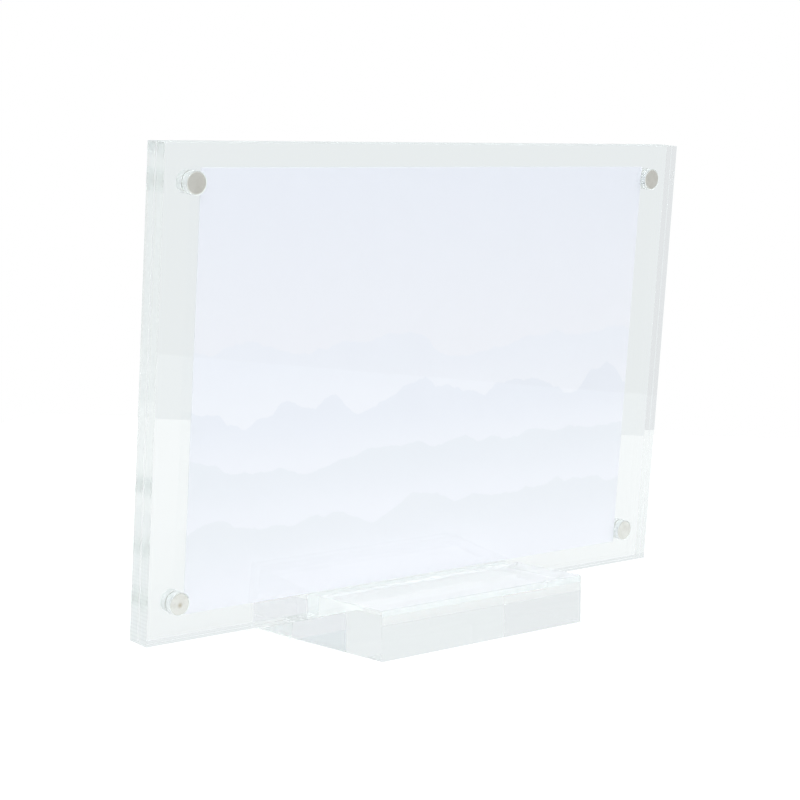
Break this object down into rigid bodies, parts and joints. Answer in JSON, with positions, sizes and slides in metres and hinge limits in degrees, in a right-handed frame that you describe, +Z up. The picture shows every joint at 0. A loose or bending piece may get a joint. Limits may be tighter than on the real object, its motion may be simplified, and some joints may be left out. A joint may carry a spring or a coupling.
{
  "type": "acrylic block frame",
  "caption": "Clear acrylic block picture frame: magnet-clasped panels hold a landscape print between them and lean back in the slot of a clear base block.",
  "frame": {"origin": "middle of the base block's underside, on the surface that the frame stands on", "axes": "+Z up, +X along the panels to the right as seen from the display side, +Y towards the back, so the display side faces -Y and the panels lean back towards +Y"},
  "size_m": [0.2058, 0.065, 0.1497],
  "materials": {
    "clear_acrylic": "polished",
    "photo_paper": "satin",
    "nickel_plating": "polished"
  },
  "bodies": {
    "base": {"base_block": "clear_acrylic"},
    "back_half": {"back_panel": "clear_acrylic", "back_magnet_top_left": "nickel_plating", "back_magnet_top_right": "nickel_plating", "back_magnet_bottom_left": "nickel_plating", "back_magnet_bottom_right": "nickel_plating"},
    "front_half": {"front_panel": "clear_acrylic", "front_magnet_top_left": "nickel_plating", "front_magnet_top_right": "nickel_plating", "front_magnet_bottom_left": "nickel_plating", "front_magnet_bottom_right": "nickel_plating"},
    "insert": {"photo_insert": "photo_paper"}
  },
  "joints": [
    {"name": "frame_lift", "type": "slide", "parent": "base", "child": "back_half", "axis": [0, 0.0872, 0.9962], "range_m": [0, 0.05]},
    {"name": "front_panel_slide", "type": "slide", "parent": "back_half", "child": "front_half", "axis": [0, 0.0872, 0.9962], "range_m": [0, 0.15]},
    {"name": "insert_slide", "type": "slide", "parent": "back_half", "child": "insert", "axis": [0, 0.0872, 0.9962], "range_m": [0, 0.14]}
  ]
}
